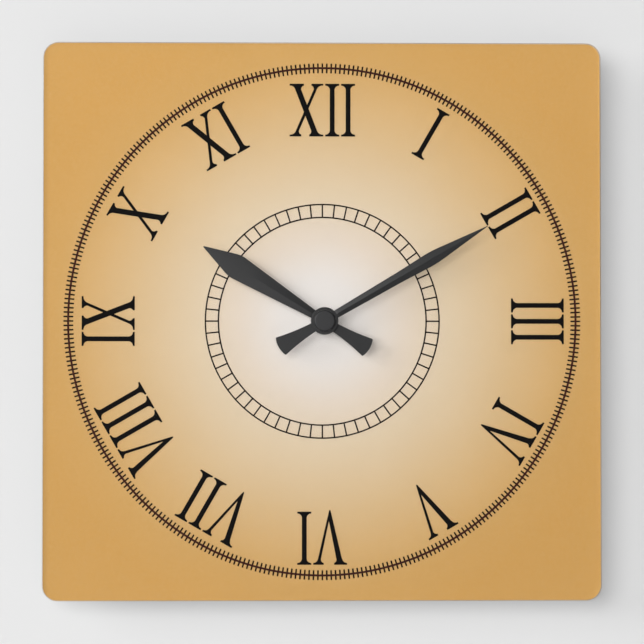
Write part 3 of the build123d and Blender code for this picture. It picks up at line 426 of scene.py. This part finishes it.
gear_amber = finished(
    "gear_amber", grain_finish, srgb(214, 158, 78), srgb(198, 140, 62),
    roughness=0.38, spread=0.1, patch=120, grain=3000, depth=0.008 * MM)
blanked_steel = finished(
    "blanked_steel", grain_finish, srgb(168, 168, 166), srgb(146, 147, 148),
    roughness=0.36, spread=0.16, patch=200, grain=3000, depth=0.008 * MM, stretch=(0.15, 1, 1),
    metallic=1.0)
ferrite = finished(
    "ferrite", grain_finish, srgb(52, 51, 52), srgb(40, 39, 40),
    roughness=0.5, spread=0.15, patch=300, grain=4000, depth=0.01 * MM)
spring_nickel = finished(
    "spring_nickel", grain_finish, srgb(204, 200, 188), srgb(182, 177, 164),
    roughness=0.24, spread=0.14, patch=200, grain=2500, depth=0.005 * MM, stretch=(1, 0.15, 1),
    metallic=1.0)
bobbin_plastic = finished(
    "bobbin_plastic", grain_finish, srgb(216, 212, 198), srgb(204, 198, 182),
    roughness=0.45, spread=0.1, patch=120, grain=3000, depth=0.01 * MM)
chip_resin = finished(
    "chip_resin", grain_finish, srgb(18, 18, 19), srgb(24, 24, 25),
    roughness=0.28, spread=0.16, patch=400, grain=2000, depth=0.03 * MM, coat=0.3)

solder_mask = finished(
    "solder_mask", grain_finish, srgb(30, 84, 50), srgb(24, 70, 42),
    roughness=0.34, spread=0.12, patch=160, grain=2600, depth=0.01 * MM)
cell_sleeve = finished(
    "cell_sleeve", grain_finish, srgb(38, 62, 82), srgb(32, 54, 72),
    roughness=0.3, spread=0.12, patch=60, grain=2400, depth=0.006 * MM)


# This scale of the wave pattern puts the turns of wire 0.2 mm apart.
WIRE_WAVES = 1570.0
WIRE_BUMP = 0.06 * MM


def make_copper_winding():
    """Enamelled copper wire in close turns along the coil, with painted shade in the grooves
    between the turns.
    """
    material, tree, shader = new_material("copper_winding")
    wave = tree.nodes.new("ShaderNodeTexWave")
    wave.bands_direction = "X"
    wave.inputs["Scale"].default_value = WIRE_WAVES
    wave.inputs["Distortion"].default_value = 0.6
    place = object_place(tree)
    tree.links.new(place, wave.inputs["Vector"])
    tone = noise(tree, place, 400.0, 3.0)
    wire = mix_colours(tree, tone, srgb(198, 108, 62), srgb(160, 78, 44))
    # Painted shade: the wire darkens to a deep brown in the grooves between its turns.
    turns = mix_colours(tree, wave.outputs["Fac"], srgb(92, 42, 26), wire)
    tree.links.new(turns, shader.inputs["Base Color"])
    rough = math_node(tree, "MULTIPLY_ADD", tone, 0.2, 0.22)
    tree.links.new(rough, shader.inputs["Roughness"])
    shader.inputs["Metallic"].default_value = 0.9
    add_bump(tree, shader, wave.outputs["Fac"], WIRE_BUMP)
    return material


wear("coil_winding", make_copper_winding())
wear("circuit_board", solder_mask)
wear("battery_sleeve", cell_sleeve)
for node in ("brass_washer", "minute_arbor"):
    wear(node, brass_bright)
for node in ("hex_nut", "threaded_bushing"):
    wear(node, brass_dull)
wear("wall_hanger", zinc_plate)
wear("front_case", case_plastic)
wear("rear_cover", cover_plastic)
wear("train_bridge", case_plastic)
wear("setting_knob", knob_plastic)
wear("rubber_washer", washer_rubber)
for node in ("hour_wheel", "setting_arbor", "centre_wheel", "seconds_wheel", "rotor_pinion"):
    wear(node, gear_white)
for node in ("minute_wheel", "third_wheel", "fifth_wheel"):
    wear(node, gear_amber)
for node in ("stator", "coil_core"):
    wear(node, blanked_steel)
wear("rotor_magnet", ferrite)
for node in ("positive_contact", "negative_contact", "quartz_crystal"):
    wear(node, spring_nickel)
wear("coil_bobbin", bobbin_plastic)
wear("chip_cover", chip_resin)
wear("battery_can", spring_nickel)

hand_paint = finished(
    "hand_paint", grain_finish, srgb(42, 42, 42), srgb(36, 36, 37),
    roughness=0.34, spread=0.1, patch=70, grain=3800, depth=0.006 * MM, specular=0.5)
cap_plastic = finished(
    "cap_plastic", grain_finish, srgb(46, 46, 47), srgb(40, 40, 41),
    roughness=0.42, spread=0.1, patch=90, grain=3800, depth=0.006 * MM, specular=0.5)


# ---------------------------------------------------------------- making pieces

def finish_piece(mesh, name, material, body, slot, *replaced, smooth_angle=35.0):
    """Turns a bmesh into a finished piece that rides on a body and stands for CAD nodes."""
    bmesh.ops.remove_doubles(mesh, verts=mesh.verts, dist=1e-7)
    bmesh.ops.recalc_face_normals(mesh, faces=mesh.faces)
    data = bpy.data.meshes.new(name)
    mesh.to_mesh(data)
    mesh.free()
    for face in data.polygons:
        face.use_smooth = True
    data.set_sharp_from_angle(angle=radians(smooth_angle))
    data.materials.append(material)
    piece = bpy.data.objects.new(name, data)
    bpy.context.collection.objects.link(piece)
    weighted = piece.modifiers.new("face_weighted_normals", "WEIGHTED_NORMAL")
    weighted.keep_sharp = True
    weighted.weight = 100
    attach(piece, body)
    if replaced:
        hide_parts(*replaced)


def draw_out(mesh, depth):
    """Draws a flat shape out along Y into a solid."""
    drawn = bmesh.ops.extrude_face_region(mesh, geom=mesh.faces[:])
    moved = [item for item in drawn["geom"] if isinstance(item, bmesh.types.BMVert)]
    bmesh.ops.translate(mesh, verts=moved, vec=(0, depth, 0))


def round_edges(mesh, edges, radius, segments):
    """Rounds edges to a radius."""
    bmesh.ops.bevel(mesh, geom=edges, offset=radius, affect="EDGES", segments=segments,
                    profile=0.5, material=-1, clamp_overlap=True)


# The root body is the one that is no joint's child.
children = {joint["child"] for joint in frame["joints"]}
case_body = next(name for name in frame["bodies"] if name not in children)

PANEL_CORNER = 7.5 * MM
PANEL_EDGE = 1.8 * MM
PANEL_REAR_EDGE = 0.12 * MM
PANEL_HOLE = 4.2 * MM


def make_panel():
    """The clear plate: a rounded square with a hole, drawn out and rounded along its front."""
    mesh = bmesh.new()
    left, right = panel_low.x, panel_high.x
    bottom, top = panel_low.z, panel_high.z
    corners = [mesh.verts.new((x, panel_rear, z))
               for x, z in ((left, bottom), (right, bottom), (right, top), (left, top))]
    mesh.faces.new(corners)
    bmesh.ops.bevel(mesh, geom=corners, offset=PANEL_CORNER, affect="VERTICES", segments=12,
                    profile=0.5, material=-1)
    on_rear = Matrix.Translation((0, panel_rear, 0)) @ Matrix.Rotation(pi / 2, 4, "X")
    bmesh.ops.create_circle(mesh, segments=48, radius=PANEL_HOLE, matrix=on_rear)
    bmesh.ops.delete(mesh, geom=mesh.faces[:], context="FACES_ONLY")
    bmesh.ops.triangle_fill(mesh, use_beauty=True, use_dissolve=False, edges=mesh.edges[:])
    bmesh.ops.recalc_face_normals(mesh, faces=mesh.faces)
    draw_out(mesh, panel_front - panel_rear)
    well_past_hole = 3 * PANEL_HOLE

    def rim(depth):
        """The plate's outer edges at a depth, which have a face that leaves that depth."""
        return [edge for edge in mesh.edges
                if all(abs(vert.co.y - depth) < 1e-6 for vert in edge.verts)
                and len(edge.link_faces) == 2
                and any(abs(face.calc_center_median().y - depth) > 1e-5 for face in edge.link_faces)
                and edge.verts[0].co.xz.length > well_past_hole]

    bmesh.ops.recalc_face_normals(mesh, faces=mesh.faces)
    round_edges(mesh, rim(panel_front), PANEL_EDGE, 10)
    round_edges(mesh, rim(panel_rear), PANEL_REAR_EDGE, 2)
    return mesh


ACRYLIC_TINT = (0.998, 0.998, 0.998, 1)
ACRYLIC_IOR = 1.49
# What the plate lets through of a lamp's straight light.
ACRYLIC_PASSED = (0.83, 0.83, 0.83, 1)
RIPPLE_BUMP = 0.04 * MM


def make_clear_acrylic():
    """Clear cast acrylic. Lamps shine straight through it, so the print behind it is lit."""
    material, tree, shader = new_material("clear_acrylic")
    place = object_place(tree)
    smear = noise(tree, place, 14.0, 3.0)
    rough = math_node(tree, "MULTIPLY_ADD", smear, 0.02, 0.015)
    tree.links.new(rough, shader.inputs["Roughness"])
    ripple = noise(tree, place, 9.0, 1.0)
    add_bump(tree, shader, ripple, RIPPLE_BUMP, 0.3)
    shader.inputs["Base Color"].default_value = ACRYLIC_TINT
    shader.inputs["IOR"].default_value = ACRYLIC_IOR
    shader.inputs["Transmission Weight"].default_value = 1.0
    passing = tree.nodes.new("ShaderNodeBsdfTransparent")
    passing.inputs["Color"].default_value = ACRYLIC_PASSED
    path = tree.nodes.new("ShaderNodeLightPath")
    choice = mix_shaders(tree, path.outputs["Is Shadow Ray"], shader, passing)
    tree.links.new(choice.outputs[0], tree.nodes["Material Output"].inputs["Surface"])
    return material


finish_piece(make_panel(), "clear_plate", make_clear_acrylic(), case_body, "clear_acrylic",
             "acrylic_panel")


# ---------------------------------------------------------------- hands

def turned_to(angle):
    """Takes a shape drawn upright in the XZ plane to a hand's angle, clockwise from twelve."""
    return Matrix.Rotation(radians(angle), 4, "Y")


NECK_WIDTH = 2.2 * MM
TAIL_RADIUS = 25.2 * MM
TAIL_BULGE = 0.6 * MM
TAIL_CORNER = 0.5 * MM
TAIL_HALF_ANGLE = radians(11.2)
HAND_THICKNESS = 0.4 * MM
HAND_EDGE = 0.1 * MM
# The ridge rises between two distances from the axis, and then falls in a straight line to its
# height at the tip. The blade is cut across at each step, so that its facets stay flat.
RIDGE_START = 5.4 * MM
RIDGE_FULL = 7.4 * MM
RIDGE_STEP = 6.0 * MM
RIDGE_HEIGHT = 0.36 * MM
RIDGE_TIP_HEIGHT = 0.05 * MM
# The tail meets the hub this far below the axis, and its sides bow in by this much.
TAIL_START = 5.3 * MM
TAIL_SAG = 0.42 * MM


def tail_side(side, steps=8):
    """The concave side of the fan-shaped tail, from the hub out to its end."""
    start = Vector((side * NECK_WIDTH, -TAIL_START))
    end = Vector((side * TAIL_RADIUS * sin(TAIL_HALF_ANGLE), -TAIL_RADIUS * cos(TAIL_HALF_ANGLE)))
    points = []
    for step in range(steps + 1):
        share = step / steps
        along = start.lerp(end, share)
        inward = 4 * TAIL_SAG * share * (1 - share)
        points.append((along.x - side * inward, along.y))
    return points


def tail_end(steps=8):
    """The tail's bulging end, from its right side to its left."""
    reach = TAIL_RADIUS * sin(TAIL_HALF_ANGLE)
    drop = TAIL_RADIUS * (1 - cos(TAIL_HALF_ANGLE)) + TAIL_BULGE
    radius = (reach ** 2 + drop ** 2) / (2 * drop)
    centre = -TAIL_RADIUS - TAIL_BULGE + radius
    half = asin(reach / radius)
    turns = (half * (1 - 2 * step / steps) for step in range(1, steps))
    return [(radius * sin(turn), centre - radius * cos(turn)) for turn in turns]


def cut(mesh, point, normal):
    """Cuts every face along a plane and keeps both sides."""
    bmesh.ops.bisect_plane(mesh, geom=mesh.verts[:] + mesh.edges[:] + mesh.faces[:],
                           plane_co=point, plane_no=normal)


def hand_outline(rear, blade, shoulder_radius):
    """A flat hand drawn upright: its blade and its fan tail, with rounded corners."""
    mesh = bmesh.new()
    right = [(half * MM, distance * MM) for distance, half in blade]
    left = [(-x, z) for x, z in reversed(right)]
    outline = right + left + tail_side(-1) + tail_end()[::-1] + tail_side(1)[::-1]
    mesh.faces.new([mesh.verts.new((x, -rear, z)) for x, z in outline])
    widest = max(half for distance, half in blade) * MM
    shoulders = [vert for vert in mesh.verts if abs(abs(vert.co.x) - widest) < 1e-7]
    bmesh.ops.bevel(mesh, geom=shoulders, offset=shoulder_radius, affect="VERTICES", segments=5,
                    profile=0.5, material=-1)
    low = -TAIL_RADIUS * cos(TAIL_HALF_ANGLE)
    corners = [vert for vert in mesh.verts
               if abs(vert.co.z - low) < 1e-7 and abs(vert.co.x) > NECK_WIDTH]
    bmesh.ops.bevel(mesh, geom=corners, offset=TAIL_CORNER, affect="VERTICES", segments=4,
                    profile=0.5, material=-1)
    return mesh


def raise_ridge(mesh, front_y, tip):
    """Lifts the blade's middle line off its front face."""
    for vert in mesh.verts:
        on_line = abs(vert.co.x) < 1e-6 and abs(vert.co.y - front_y) < 1e-6
        if on_line and RIDGE_FULL - 1e-6 < vert.co.z < tip - 1 * MM:
            share = (vert.co.z - RIDGE_FULL) / (tip - RIDGE_FULL)
            vert.co.y -= RIDGE_HEIGHT + (RIDGE_TIP_HEIGHT - RIDGE_HEIGHT) * share


def make_hand(rear, angle, blade, shoulder_radius):
    """A stamped hand: a drawn-out outline with softened edges and a ridge along the blade.

    The blade is a list of (distance from the axis, half width) from the hub to the tip, and
    the widest of them is the shoulder, which is rounded."""
    mesh = hand_outline(rear, blade, shoulder_radius)
    tip = blade[-1][0] * MM
    stations = [RIDGE_START, RIDGE_FULL]
    while stations[-1] + 2 * RIDGE_STEP < tip:
        stations.append(stations[-1] + RIDGE_STEP)
    for height in stations:
        cut(mesh, (0, 0, height), (0, 0, 1))
    cut(mesh, (0, 0, 0), (1, 0, 0))
    bmesh.ops.recalc_face_normals(mesh, faces=mesh.faces)
    draw_out(mesh, -HAND_THICKNESS)
    bmesh.ops.recalc_face_normals(mesh, faces=mesh.faces)
    front_y = -rear - HAND_THICKNESS
    rim = [edge for edge in mesh.edges
           if all(abs(vert.co.y - front_y) < 1e-7 for vert in edge.verts)
           and edge.calc_face_angle(0) > radians(60)]
    round_edges(mesh, rim, HAND_EDGE, 3)
    raise_ridge(mesh, front_y, tip)
    bmesh.ops.transform(mesh, matrix=turned_to(angle), verts=mesh.verts)
    return mesh


def make_boss(rear, radius, height, bore, edge, edge_steps=6):
    """A turned disc on the hands' axis with a rounded front edge, spun from its section."""
    mesh = bmesh.new()
    front = -rear - height
    section = [(bore, -rear), (radius, -rear)]
    for step in range(edge_steps + 1):
        turn = pi / 2 * step / edge_steps
        section.append((radius - edge + edge * cos(turn), front + edge - edge * sin(turn)))
    section.append(((radius + bore) * 0.45, front))
    section.append((max(bore, 1e-5), front))
    verts = [mesh.verts.new((x, y, 0)) for x, y in section]
    edges = [mesh.edges.new(pair) for pair in zip(verts, verts[1:])]
    if bore > 0:
        edges.append(mesh.edges.new((verts[-1], verts[0])))
    bmesh.ops.spin(mesh, geom=verts + edges, cent=(0, 0, 0), axis=(0, 1, 0), angle=2 * pi,
                   steps=72, use_merge=True)
    return mesh


# Each hand's angle in degrees clockwise from twelve, and its blade: the distances from the axis
# and the half widths there, in millimetres.
MINUTE_ANGLE = 59.8
HOUR_ANGLE = 301.6
MINUTE_BLADE = [(5.0, 1.95), (42.5, 2.65), (61.4, 3.42), (92.2, 0.13)]
HOUR_BLADE = [(5.0, 2.0), (51.2, 6.12), (69.3, 0.26)]
MINUTE_SHOULDER = 3.4 * MM
HOUR_SHOULDER = 2.2 * MM
# A facet turns by more than this many degrees at the ridge, which stays a crisp line.
FACET_ANGLE = 4.0
# Each boss starts this far behind its hand, so that their rear faces don't share a plane.
BOSS_BEHIND = 0.02 * MM

minute_rear = -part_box("minute_hand")[1].y
hour_rear = -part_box("hour_hand")[1].y
finish_piece(make_hand(minute_rear, MINUTE_ANGLE, MINUTE_BLADE, MINUTE_SHOULDER),
             "minute_hand_blade", hand_paint, "minute_hand_body", "hand_black", "minute_hand",
             smooth_angle=FACET_ANGLE)
finish_piece(make_hand(hour_rear, HOUR_ANGLE, HOUR_BLADE, HOUR_SHOULDER),
             "hour_hand_blade", hand_paint, "hour_hand_body", "hand_black", "hour_hand",
             smooth_angle=FACET_ANGLE)

minute_boss = make_boss(minute_rear - BOSS_BEHIND, radius=6.7 * MM, height=0.62 * MM,
                        bore=1.52 * MM, edge=0.22 * MM)
finish_piece(minute_boss, "minute_hand_boss", hand_paint, "minute_hand_body", "hand_black")
hour_boss = make_boss(hour_rear - BOSS_BEHIND, radius=6.3 * MM, height=0.6 * MM,
                      bore=2.52 * MM, edge=0.2 * MM)
finish_piece(hour_boss, "hour_hand_boss", hand_paint, "hour_hand_body", "hand_black")

cap_low, cap_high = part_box("centre_cap")
cap = make_boss(-cap_high.y, radius=(cap_high.x - cap_low.x) / 2, height=cap_high.y - cap_low.y,
                bore=0.0, edge=0.95 * MM)
finish_piece(cap, "cap_button", cap_plastic, "minute_hand_body", "cap_black", "centre_cap")
wear("hour_hand_collar", cap_plastic)


# ---------------------------------------------------------------- stage, lamps and camera

WALL_COLOUR = srgb(231, 231, 231)
FLOOR_COLOUR = srgb(226, 226, 225)
# The wall's colour to light that has already been scattered once.
WALL_IN_SHADE = (0.12, 0.12, 0.12, 1)


def make_wall_paint():
    """Plain wall paint, there only from the room's side, so that the clock's back can be seen.

    Lamps behind the wall reach what is seen directly, and don't brighten the gap behind the
    plate when the clock is seen from the room."""
    material, tree, shader = new_material("wall_paint")
    shader.inputs["Base Color"].default_value = WALL_COLOUR
    shader.inputs["Roughness"].default_value = 0.9
    shader.inputs["Specular IOR Level"].default_value = 0.1
    dark = tree.nodes.new("ShaderNodeBsdfDiffuse")
    dark.inputs["Color"].default_value = WALL_IN_SHADE
    through = tree.nodes.new("ShaderNodeBsdfTransparent")
    side = tree.nodes.new("ShaderNodeNewGeometry")
    path = tree.nodes.new("ShaderNodeLightPath")
    first = math_node(tree, "LESS_THAN", path.outputs["Ray Depth"], 1.5)
    lit_through = math_node(tree, "MULTIPLY", first, path.outputs["Is Shadow Ray"])
    clear = math_node(tree, "MAXIMUM", lit_through, side.outputs["Backfacing"])
    paint = mix_shaders(tree, path.outputs["Is Diffuse Ray"], shader, dark)
    choice = mix_shaders(tree, clear, paint, through)
    tree.links.new(choice.outputs[0], tree.nodes["Material Output"].inputs["Surface"])
    return material


def make_floor_paint():
    material, _, shader = new_material("floor_paint")
    shader.inputs["Base Color"].default_value = FLOOR_COLOUR
    shader.inputs["Roughness"].default_value = 0.8
    return material


def stage_plane(name, corners, material):
    """A flat four-cornered backdrop that isn't part of the clock."""
    mesh = bmesh.new()
    mesh.faces.new([mesh.verts.new(corner) for corner in corners])
    data = bpy.data.meshes.new(name)
    mesh.to_mesh(data)
    mesh.free()
    data.materials.append(material)
    plane = bpy.data.objects.new(name, data)
    bpy.context.collection.objects.link(plane)


# The wall runs up from the floor, just behind the clock. The floor reaches as far behind it as
# in front of it.
WALL_HALF = 1.6
WALL_Y = 0.0006
FLOOR_Z = -0.55
FLOOR_REACH = 2.6
stage_plane("wall", [(-WALL_HALF, WALL_Y, FLOOR_Z), (WALL_HALF, WALL_Y, FLOOR_Z),
                     (WALL_HALF, WALL_Y, WALL_HALF), (-WALL_HALF, WALL_Y, WALL_HALF)],
            make_wall_paint())
stage_plane("floor", [(-WALL_HALF, -FLOOR_REACH, FLOOR_Z), (WALL_HALF, -FLOOR_REACH, FLOOR_Z),
                      (WALL_HALF, FLOOR_REACH, FLOOR_Z), (-WALL_HALF, FLOOR_REACH, FLOOR_Z)],
            make_floor_paint())

dial_middle = Vector((panel_centre.x, panel_front, panel_centre.z))


def direction(left, above):
    """The way from the dial towards the room, turned left and raised by degrees."""
    left, above = radians(left), radians(above)
    return Vector((-sin(left) * cos(above), -cos(left) * cos(above), sin(above)))


def lamp(name, place, size, watts, mirrored=True):
    """A soft rectangular lamp that points at the middle of the dial."""
    data = bpy.data.lights.new(name, "AREA")
    data.shape = "RECTANGLE"
    data.size, data.size_y = size
    data.energy = watts
    light = bpy.data.objects.new(name, data)
    light.location = place
    light.rotation_mode = "QUATERNION"
    light.rotation_quaternion = (dial_middle - light.location).to_track_quat("-Z", "Y")
    light.visible_glossy = mirrored
    light.visible_transmission = False
    bpy.context.collection.objects.link(light)


FRONT_LAMP_AWAY = 7.0
SIDE_LAMPS_AWAY = 5.0
front_place = dial_middle + FRONT_LAMP_AWAY * direction(-0.8, -0.5)
left_place = dial_middle + SIDE_LAMPS_AWAY * direction(23, 9)
side_place = dial_middle + SIDE_LAMPS_AWAY * direction(60, 18)
lamp("front_lamp", front_place, size=(0.4, 0.4), watts=200, mirrored=False)
lamp("left_lamp", left_place, size=(3.1, 2.6), watts=99)
lamp("side_lamp", side_place, size=(2.0, 2.6), watts=72)
lamp("back_lamp", (-0.9, 2.0, 1.0), size=(1.6, 1.6), watts=34)
lamp("back_fill", (1.6, 1.6, -0.1), size=(1.2, 1.2), watts=16)


STUDIO_COLOUR = (0.92, 0.94, 0.96, 1)
STUDIO_LIGHT = 0.05
STUDIO_SEEN = 0.72


def make_studio():
    """A dim surround that adds little light, pale where it is looked at directly."""
    studio = bpy.data.worlds.new("studio")
    studio.use_nodes = True
    tree = studio.node_tree
    background = tree.nodes["Background"]
    background.inputs["Color"].default_value = STUDIO_COLOUR
    path = tree.nodes.new("ShaderNodeLightPath")
    bounces = math_node(tree, "ADD", path.outputs["Diffuse Depth"], path.outputs["Glossy Depth"])
    unscattered = math_node(tree, "LESS_THAN", bounces, 0.5)
    through_glass = math_node(tree, "MULTIPLY", path.outputs["Is Transmission Ray"], unscattered)
    seen = math_node(tree, "MAXIMUM", path.outputs["Is Camera Ray"], through_glass)
    strength = math_node(tree, "MULTIPLY_ADD", seen, STUDIO_SEEN - STUDIO_LIGHT, STUDIO_LIGHT)
    tree.links.new(strength, background.inputs["Strength"])
    return studio


bpy.context.scene.world = make_studio()
bpy.context.scene.view_settings.view_transform = "Standard"

CAMERA_DISTANCE = 1.6
CAMERA_LENS = 183.0
# The camera aims this far from the plate's middle, from a little to the left and below it.
CAMERA_AIM = Vector((-0.22 * MM, 0, -0.47 * MM))
CAMERA_LEFT = 1.5
CAMERA_ABOVE = -1.85
towards_camera = direction(CAMERA_LEFT, CAMERA_ABOVE)
camera_data = bpy.data.cameras.new("camera")
camera_data.sensor_width = 36.0
camera_data.lens = CAMERA_LENS
camera = bpy.data.objects.new("camera", camera_data)
camera.location = dial_middle + CAMERA_AIM + towards_camera * CAMERA_DISTANCE
camera.rotation_mode = "QUATERNION"
camera.rotation_quaternion = (-towards_camera).to_track_quat("-Z", "Y")
bpy.context.collection.objects.link(camera)
bpy.context.scene.camera = camera
